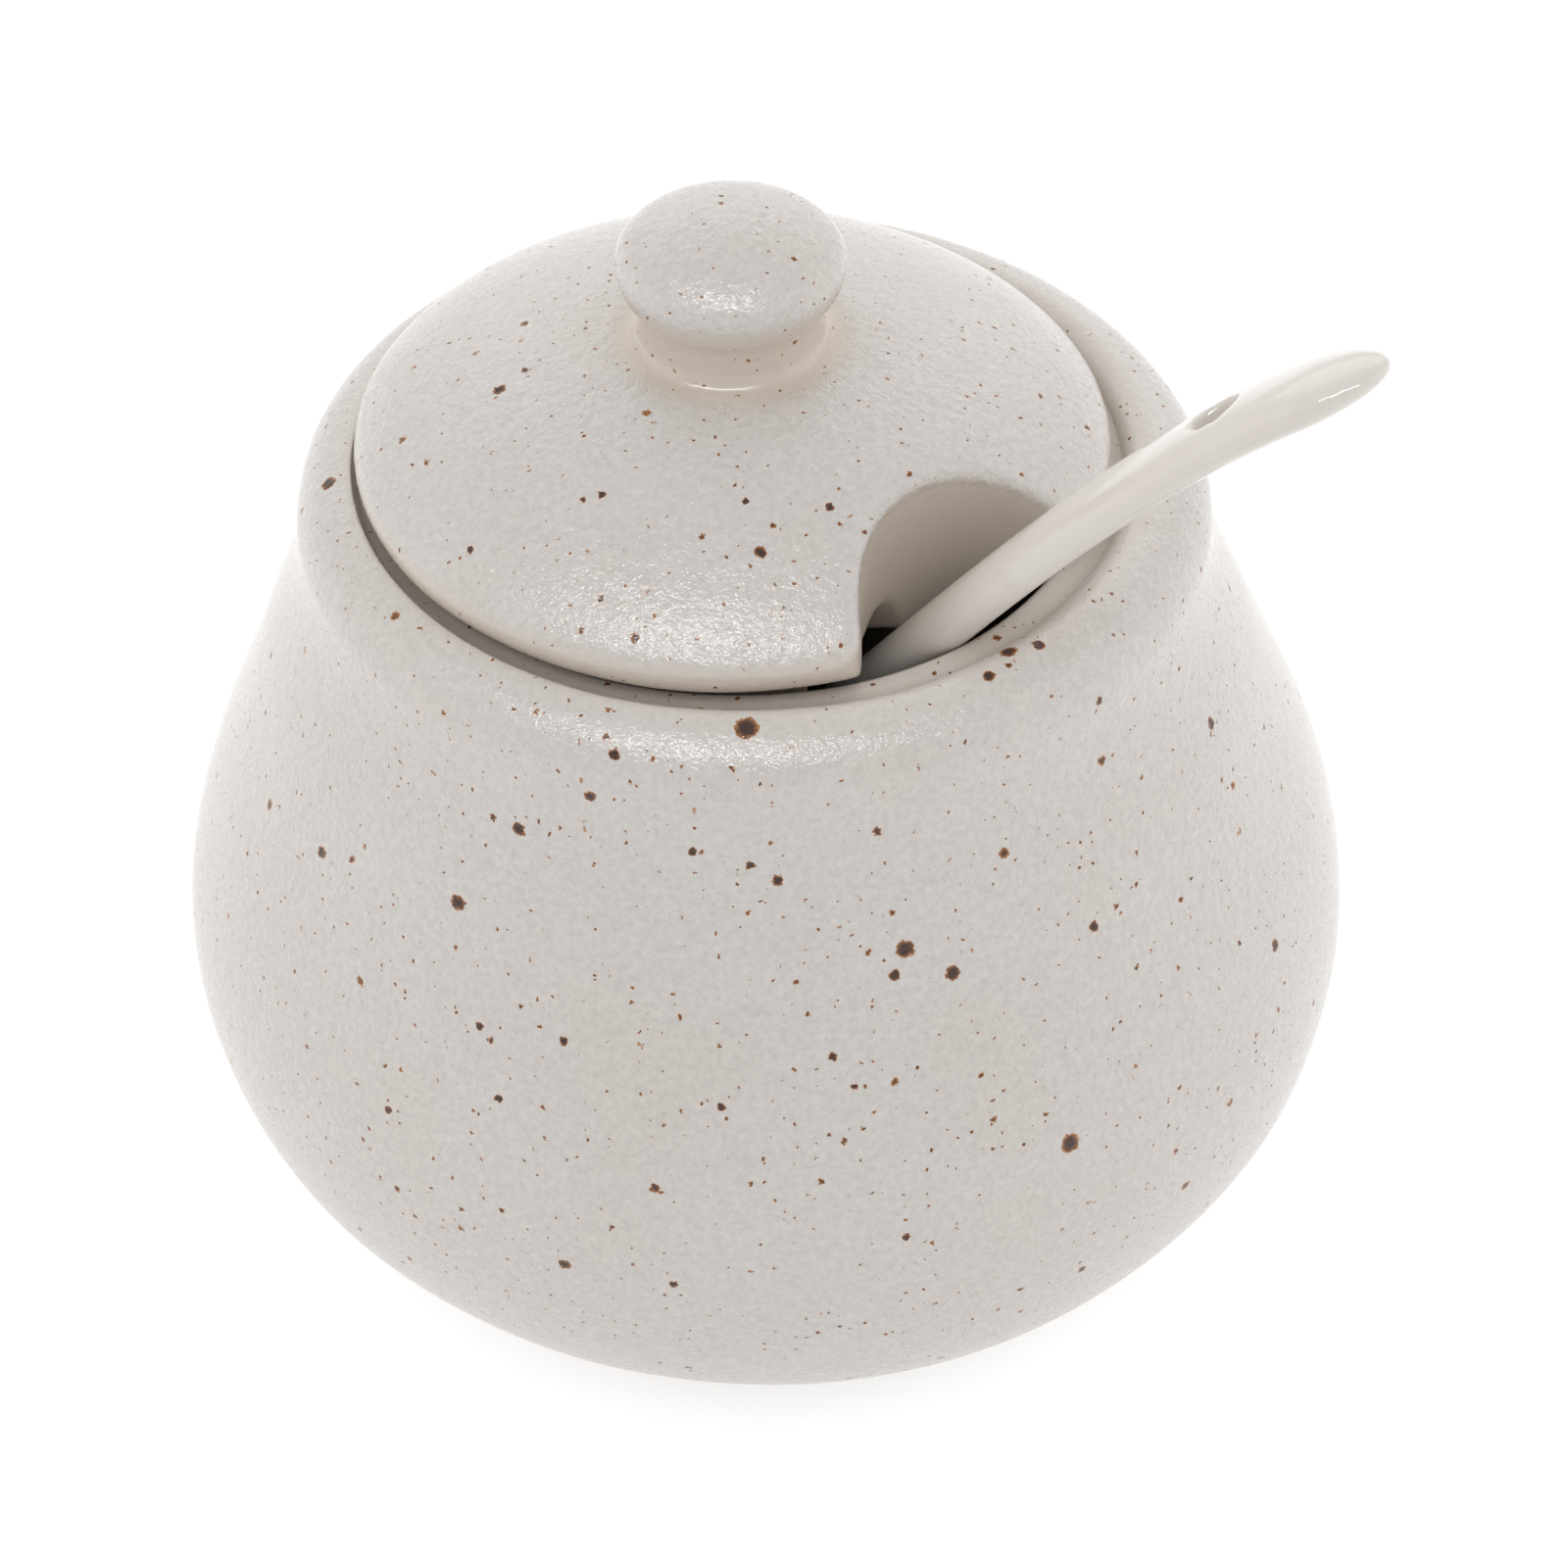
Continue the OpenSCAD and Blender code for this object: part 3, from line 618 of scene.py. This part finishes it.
def upright(name, outline, low, high):
    """A prism: a circle primitive drawn to an outline in mm, filled and pulled up."""
    take_only(None)
    bpy.ops.mesh.primitive_circle_add(vertices=len(outline), radius=MM, fill_type="NGON", location=(0, 0, 0))
    piece = bpy.context.object
    piece.name = name
    place_points(piece, np.array([(x, y, low) for x, y in outline]))
    bpy.ops.object.mode_set(mode="EDIT")
    bpy.ops.mesh.select_all(action="SELECT")
    bpy.ops.mesh.extrude_region_move(TRANSFORM_OT_translate={"value": (0, 0, (high - low) * MM)})
    bpy.ops.mesh.select_all(action="SELECT")
    bpy.ops.mesh.normals_make_consistent(inside=False)
    bpy.ops.object.mode_set(mode="OBJECT")
    return piece


notch_dir = np.array((cos(NOTCH_TURN), sin(NOTCH_TURN)))
notch_side = np.array((-sin(NOTCH_TURN), cos(NOTCH_TURN)))
notch_centre = NOTCH_REACH * notch_dir

# The ring is cut away round the notch, with room for the lining
ring_cut_r = NOTCH_R + RING_ROOM
ring_cut_plan = [notch_centre + ring_cut_r * np.array((cos(a), sin(a)))
                 for a in np.linspace(0, 2 * pi, 72, endpoint=False)]
ring_gap = upright("ring_gap", ring_cut_plan, ring_foot - OVERRUN, LID_Z - RING_CUT_GAP)
joined(lid, ring_gap, "DIFFERENCE")

# The lining: a square-section ring round the notch, cut round the stem and kept within the lid's own form
stem_dir = Vector((cos(LEAN) * cos(HEADING), cos(LEAN) * sin(HEADING), sin(LEAN)))
rest_point = Vector((REST_R * cos(REST_TURN), REST_R * sin(REST_TURN), SEAT_Z))
rest_side = stem_dir.cross(Vector((-sin(REST_TURN), cos(REST_TURN), 0))).normalized()
stem_rest = rest_point + rest_side * (STEM_T / 2 + REST_GAP)
solid_r = RING_R - LINING_INSET
solid_lid = spun("solid_lid", [np.array((0, ring_foot)), np.array((solid_r, ring_foot)),
                               np.array((solid_r, LID_Z))] + lid_edge + dome_flank
                 + [np.array((0, APEX_Z))], LID_STEPS)
take_only(None)
bpy.ops.mesh.primitive_torus_add(major_segments=120, minor_segments=4, major_radius=NOTCH_R * MM,
                                 minor_radius=MM, location=(0, 0, 0))
lining = bpy.context.object
lining.name = "notch_lining"
lining_points = points_of(lining)
round_turn = np.arctan2(lining_points[:, 1], lining_points[:, 0])
corner = np.arange(len(lining_points)) % 4
past_spoon = smoothstep(np.degrees(np.mod(round_turn, 2 * pi)), *PAST_SPOON)
lining_foot = LINING_FOOT + (LID_Z - LINING_SHORT - LINING_FOOT) * past_spoon
lining_r = np.where((corner == 0) | (corner == 1), NOTCH_R + NOTCH_WALL, NOTCH_R - LINING_SPARE)
lining_z = np.where((corner == 1) | (corner == 2), APEX_Z + OVERRUN, lining_foot)
place_points(lining, np.column_stack((notch_centre[0] + lining_r * np.cos(round_turn),
                                      notch_centre[1] + lining_r * np.sin(round_turn), lining_z)))
stem_cut_middle = stem_rest - stem_dir * (STEM_CUT_LENGTH / 2 - STEM_CUT_ABOVE)
take_only(None)
bpy.ops.mesh.primitive_cylinder_add(vertices=48, radius=STEM_ROOM * MM, depth=STEM_CUT_LENGTH * MM,
                                    location=stem_cut_middle * MM,
                                    rotation=stem_dir.to_track_quat("Z", "Y").to_euler())
joined(lining, bpy.context.object, "DIFFERENCE")
joined(lining, solid_lid, "INTERSECT")
joined(lid, lining, "UNION")

# The notch's plan: its round end, then a rounded corner on either side at the lid's edge
corner_from_axis = LID_R - NOTCH_CORNER
corner_from_notch = NOTCH_R + NOTCH_CORNER
corner_along = (corner_from_axis**2 + NOTCH_REACH**2 - corner_from_notch**2) / (2 * NOTCH_REACH)
corner_across = sqrt(corner_from_axis**2 - corner_along**2)
into_notch = acos((NOTCH_REACH - corner_along) / corner_from_notch)
out_turn = acos(corner_along / corner_from_axis)


def in_plan(along, across):
    """A place in plan, by how far it is along the notch's middle line and to its side."""
    return along * notch_dir + across * notch_side


half_plan = [in_plan(NOTCH_REACH - NOTCH_R * cos(a), NOTCH_R * sin(a))
             for a in np.linspace(0, into_notch, 26)]
half_plan += [in_plan(corner_along + NOTCH_CORNER * cos(a), corner_across - NOTCH_CORNER * sin(a))
              for a in np.linspace(into_notch, -out_turn, 12)[1:]]
outside_turn = 1.02 * out_turn
half_plan += [in_plan(PLAN_R * cos(outside_turn), PLAN_R * sin(outside_turn)), in_plan(*PLAN_END)]
mirrored = [2 * np.dot(p, notch_dir) * notch_dir - p for p in half_plan[1:]]
notch = upright("notch", half_plan + mirrored[::-1], ring_foot - OVERRUN, APEX_Z + OVERRUN)
joined(lid, notch, "DIFFERENCE")
apply_modifier(lid, "glaze_skin", "REMESH", mode="VOXEL", voxel_size=LID_SKIN * MM)
apply_modifier(lid, "soft_glaze", "SMOOTH", factor=0.5, iterations=5)


def notch_wall_distance(points):
    """How far each point lies outside the notch's round wall, in mm."""
    return np.hypot(points[:, 0] - notch_centre[0], points[:, 1] - notch_centre[1]) - NOTCH_R


lid_points = points_of(lid)
from_wall = notch_wall_distance(lid_points)
edge_band = smooth_fall(from_wall, *SOFT_EDGE_R) * smoothstep(lid_points[:, 2], *SOFT_EDGE_Z)
soft_edge = lid.vertex_groups.new(name="soft_edge")
for index in np.nonzero(edge_band > 0.05)[0]:
    soft_edge.add([int(index)], float(edge_band[index]), "REPLACE")
apply_modifier(lid, "round_edge", "SMOOTH", factor=0.5, iterations=40, vertex_group="soft_edge")
take_only(lid)
bpy.ops.object.shade_smooth()

lid_points = points_of(lid)
lid_r = np.hypot(lid_points[:, 0], lid_points[:, 1])
lid_z = lid_points[:, 2]
from_wall = notch_wall_distance(lid_points)
under_dome = np.interp(lid_r, dome_line[:, 0], dome_line[:, 1]) - lid_z
# The glaze lies smooth on the rounded edge, the knob's neck, the notch's wall and the underside
edge_glaze = smooth_fall(lid_z - edge[1], *EDGE_BAND)
neck_glaze = smooth_fall(lid_r - knob_foot_r, *KNOB_FOOT_BAND)
neck_glaze *= smoothstep(lid_z - knob_foot[1], *NECK_FOOT_BAND)
neck_glaze *= smooth_fall(lid_z - cap[1], *NECK_TOP_BAND)
wall_glaze = smooth_fall(from_wall, *WALL_BAND) * smoothstep(under_dome, *WALL_DEPTH_BAND)
under_glaze = smoothstep(under_dome, *UNDERSIDE_BAND) * (lid_r < LID_R - 1)
bare_under = under_glaze * smooth_fall(lid_z, LID_Z, LID_Z + BARE_FADE)
give_share(lid, "smooth_glaze", np.maximum.reduce([edge_glaze, neck_glaze, wall_glaze, under_glaze]))
give_share(lid, "bare_clay", np.maximum(wall_glaze, bare_under))
lid_points[:, 0] += LID_X
place_points(lid, lid_points)
make_uneven(lid, "pressed_hollows", height=0.25, size=16)


def on_lid(azimuth, z, r):
    """The place on the dome at this azimuth and height, and the spot's radius."""
    across = float(np.interp(-z, -dome_line[:, 1], dome_line[:, 0]))
    angle = radians(azimuth)
    return (LID_X + across * cos(angle), across * sin(angle), z), r


lid.data.materials.append(stoneware("speckled_lid_glaze", SMOOTH_LID, [on_lid(*spot) for spot in LID_SPOTS]))
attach(lid, "lid_body")
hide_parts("lid")

# The spoon
# A cast porcelain spoon in a clear glossy glaze, with a deep oval bowl, a round stem, and a flat
# rounded end with a hole to hang it by. It leans on the edge of the mouth and stands on the floor.
# Its stem's thickness, slope and resting place stand with the lid, whose lining makes room for it.
SPOON_LEN = 140.5
BOWL_LEN = 35.0
BOWL_W = 25.0
BOWL_DEPTH = 6.0
BOWL_WALL = 2.4
BOWL_RIM = 1.8
STEM_W = 5.2
END_W = 11.0
END_T = 4.4
END_ROUND = 8.8
HOLE_D = 4.4
HOLE_INSET = 16.0
END_CURVE = 49.0
END_BEND = radians(21)
EARLY_BEND = 0.4
BOWL_BEND = radians(11)
# Where the bowl's bend fades out and where the bowl turns into the stem, as shares of the bowl's length
BEND_FADE = (5 / 6, 4 / 3)
STEM_START = (0.75, 1.25)
RIM_LIFT = 0.3
ROLL = radians(-12)
SPOON_SKIN = 0.33
# The middle line is added up in this many steps
LINE_STEPS = 2000
PORCELAIN = (0.690, 0.645, 0.595)
PORCELAIN_PALE = (0.700, 0.658, 0.612)
RIPPLE_DEPTH = 0.08 * MM
GLOSS = 0.10
POOL_ROUGHER = 0.08

bowl_half = BOWL_LEN / 2
curve_start = SPOON_LEN - END_CURVE


def spoon_turn(s):
    """The slope of the spoon's middle line against its straight stem."""
    x = np.clip((s - curve_start) / END_CURVE, 0, 1)
    bowl_turn = BOWL_BEND * smooth_fall(s / BOWL_LEN, *BEND_FADE)
    return -bowl_turn - END_BEND * (EARLY_BEND * x + (1 - EARLY_BEND) * x**3)


def smooth_max(a, b):
    """The larger of the two, with a smooth change between them."""
    return (a**4 + b**4)**0.25


# A ball is drawn out along the spoon: s is how far each point is from the bowl's tip, loop is its turn
# round the middle line, and its place there comes from the spoon's half widths and thicknesses.
take_only(None)
bpy.ops.mesh.primitive_uv_sphere_add(segments=64, ring_count=260, radius=1.0, location=(0, 0, 0))
spoon = bpy.context.object
spoon.name = "porcelain_spoon"
ball = points_of(spoon) * MM
share_along = np.arccos(np.clip(ball[:, 2], -1, 1)) / pi
s = SPOON_LEN * (share_along - np.sin(2 * pi * share_along) / (3 * pi))
loop = np.arctan2(ball[:, 1], ball[:, 0])
bowl = np.sqrt(np.clip(1 - ((s - bowl_half) / bowl_half)**2, 0, 1))
tip = np.sqrt(1 - np.clip((s - SPOON_LEN + END_ROUND) / END_ROUND, 0, 1)**2)
flare = smoothstep(s, SPOON_LEN / 2, SPOON_LEN - HOLE_INSET)
root = smoothstep(s, 0, BOWL_LEN)
half_w = smooth_max(BOWL_W / 2 * bowl, (STEM_W + (END_W - STEM_W) * flare) / 2 * tip * root)
half_t = (STEM_T + (END_T - STEM_T) * flare) / 2 * tip * root
under = smooth_max((BOWL_DEPTH + BOWL_WALL) * bowl, half_t)
into_stem = smoothstep(s / BOWL_LEN, *STEM_START)
dish = BOWL_DEPTH * np.sqrt(np.clip(1 - ((s - bowl_half) / (bowl_half - BOWL_RIM))**2, 0, 1))
over = half_t * into_stem - dish
rim = BOWL_RIM * (1 - into_stem) * np.minimum(1, half_w / BOWL_RIM / 2)
top_side = np.sin(loop) > 0
across = np.where(top_side, half_w - rim, half_w) * np.cos(loop)
up = np.where(top_side, over * np.sin(loop) + rim * RIM_LIFT, under * np.sin(loop))

# The middle line, added up from its slope, with its zero where the stem begins to curve
fine_s = np.linspace(0, SPOON_LEN, LINE_STEPS + 1)
fine_turn = spoon_turn(fine_s)
step = fine_s[1]
line_x = np.concatenate(([0], np.cumsum(np.cos(fine_turn[1:]) * step)))
line_z = np.concatenate(([0], np.cumsum(np.sin(fine_turn[1:]) * step)))
start_x, start_z = (float(np.interp(curve_start, fine_s, line)) for line in (line_x, line_z))
turn = spoon_turn(s)
spoon_points = np.column_stack((np.interp(s, fine_s, line_x) - start_x - up * np.sin(turn), across,
                                np.interp(s, fine_s, line_z) - start_z + up * np.cos(turn)))
place_points(spoon, spoon_points)
take_only(spoon)
bpy.ops.object.mode_set(mode="EDIT")
bpy.ops.mesh.select_all(action="SELECT")
bpy.ops.mesh.normals_make_consistent(inside=False)
bpy.ops.object.mode_set(mode="OBJECT")

hole_s = SPOON_LEN - HOLE_INSET
hole_turn = float(spoon_turn(np.array(hole_s)))
hole_place = Vector((float(np.interp(hole_s, fine_s, line_x)) - start_x, 0,
                     float(np.interp(hole_s, fine_s, line_z)) - start_z)) * MM
take_only(None)
bpy.ops.mesh.primitive_cylinder_add(vertices=64, radius=HOLE_D / 2 * MM, depth=END_T * 3 * MM,
                                    location=hole_place, rotation=(0, -hole_turn, 0))
joined(spoon, bpy.context.object, "DIFFERENCE")
apply_modifier(spoon, "glaze_skin", "REMESH", mode="VOXEL", voxel_size=SPOON_SKIN * MM)
apply_modifier(spoon, "soft_glaze", "SMOOTH", factor=0.5, iterations=10)

spoon_turned = Matrix.Rotation(HEADING, 4, "Z") @ Matrix.Rotation(-LEAN, 4, "Y")
spoon_turned = spoon_turned @ Matrix.Rotation(ROLL, 4, "X")
spoon.data.transform(Matrix.Translation(stem_rest * MM) @ spoon_turned)
# It slides along its stem to the height of the CAD solid that it stands for
short_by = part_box("spoon")[1][2] / MM - points_of(spoon)[:, 2].max()
spoon.data.transform(Matrix.Translation(stem_dir * (short_by / stem_dir.z) * MM))
take_only(spoon)
bpy.ops.object.shade_smooth()

porcelain = bpy.data.materials.new("porcelain_glaze")
porcelain.use_nodes = True
porcelain_tree = porcelain.node_tree
porcelain_shader = porcelain_tree.nodes["Principled BSDF"]
spoon_place = wire(porcelain_tree, "ShaderNodeTexCoord").outputs["Object"]
pooling = wire(porcelain_tree, "ShaderNodeTexNoise", {"Vector": spoon_place, "Scale": 120.0, "Detail": 2.0})
spoon_colour = mixed(porcelain_tree, between(porcelain_tree, pooling.outputs["Fac"], 0.35, 0.65),
                     rgba(PORCELAIN), rgba(PORCELAIN_PALE))
porcelain_tree.links.new(spoon_colour, porcelain_shader.inputs["Base Color"])
ripple = wire(porcelain_tree, "ShaderNodeTexNoise", {"Vector": spoon_place, "Scale": 260.0, "Detail": 1.0})
spoon_bump = wire(porcelain_tree, "ShaderNodeBump", {"Height": ripple.outputs["Fac"], "Strength": 1.0,
                  "Distance": RIPPLE_DEPTH})
porcelain_tree.links.new(spoon_bump.outputs["Normal"], porcelain_shader.inputs["Normal"])
spoon_rough = maths(porcelain_tree, "MULTIPLY_ADD", pooling.outputs["Fac"], POOL_ROUGHER, GLOSS)
porcelain_tree.links.new(spoon_rough, porcelain_shader.inputs["Roughness"])
spoon.data.materials.append(porcelain)
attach(spoon, "spoon_body")
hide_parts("spoon")

# The floor, lamps and surroundings
# A white photographic table in a light tent, with soft lamps behind the pot and at its sides, and a
# narrow bright one over the camera for the glints.
TABLE = (0.86, 0.86, 0.86)
TABLE_GLOW = 0.08
TABLE_SEEN_GLOW = 0.42
TABLE_SIZE = 6
TABLE_DROP = 0.2 * MM
WHITE = (1.0, 1.0, 1.0)
TENT_LIGHT = 0.89
SOFT_LAMP_AIM = (0, 0, 0.05)
SMALL_LAMP_AIM = (0, 0, 0.06)

take_only(None)
bpy.ops.mesh.primitive_plane_add(size=TABLE_SIZE, location=(0, 0, -TABLE_DROP))
floor = bpy.context.object
floor.name = "floor"
floor_paint = bpy.data.materials.new("white_table")
floor_paint.use_nodes = True
floor_tree = floor_paint.node_tree
floor_shader = floor_tree.nodes["Principled BSDF"]
floor_shader.inputs["Base Color"].default_value = rgba(TABLE)
floor_shader.inputs["Roughness"].default_value = 0.9
floor_shader.inputs["Specular IOR Level"].default_value = 0.0
rays = wire(floor_tree, "ShaderNodeLightPath").outputs
seen = maths(floor_tree, "MAXIMUM", rays["Is Camera Ray"], rays["Is Glossy Ray"])
glow = maths(floor_tree, "MULTIPLY_ADD", seen, TABLE_SEEN_GLOW, TABLE_GLOW)
floor_tree.links.new(glow, floor_shader.inputs["Emission Strength"])
floor_shader.inputs["Emission Color"].default_value = rgba(WHITE)
floor.data.materials.append(floor_paint)

world = bpy.data.worlds.new("light_tent")
bpy.context.scene.world = world
world.use_nodes = True
world.node_tree.nodes["Background"].inputs["Color"].default_value = rgba(WHITE)
world.node_tree.nodes["Background"].inputs["Strength"].default_value = TENT_LIGHT


def lamp(name, place, aim, size, watts):
    """A rectangular lamp, placed and aimed in metres."""
    light = bpy.data.lights.new(name, "AREA")
    light.shape = "RECTANGLE"
    light.size, light.size_y = size
    light.energy = watts
    holder = bpy.data.objects.new(name, light)
    bpy.context.scene.collection.objects.link(holder)
    towards = Vector(aim) - Vector(place)
    holder.matrix_world = Matrix.Translation(place) @ towards.to_track_quat("-Z", "Y").to_matrix().to_4x4()
    return holder


lamp("lamp_behind", (0, 1.3, 0.75), SOFT_LAMP_AIM, size=(1.8, 0.9), watts=4.0)
lamp("lamp_left", (-1.2, 0, 0.5), SOFT_LAMP_AIM, size=(1.2, 0.9), watts=1.9)
lamp("lamp_right", (1.2, 0, 0.5), SOFT_LAMP_AIM, size=(1.2, 0.9), watts=2.0)
# The narrow lamp shows only as glints on the pebbled glaze and the porcelain
small_lamp = lamp("small_lamp", (-0.12, -0.50, 0.86), SMALL_LAMP_AIM, size=(0.9, 0.035), watts=6.5)
small_lamp.visible_diffuse = False
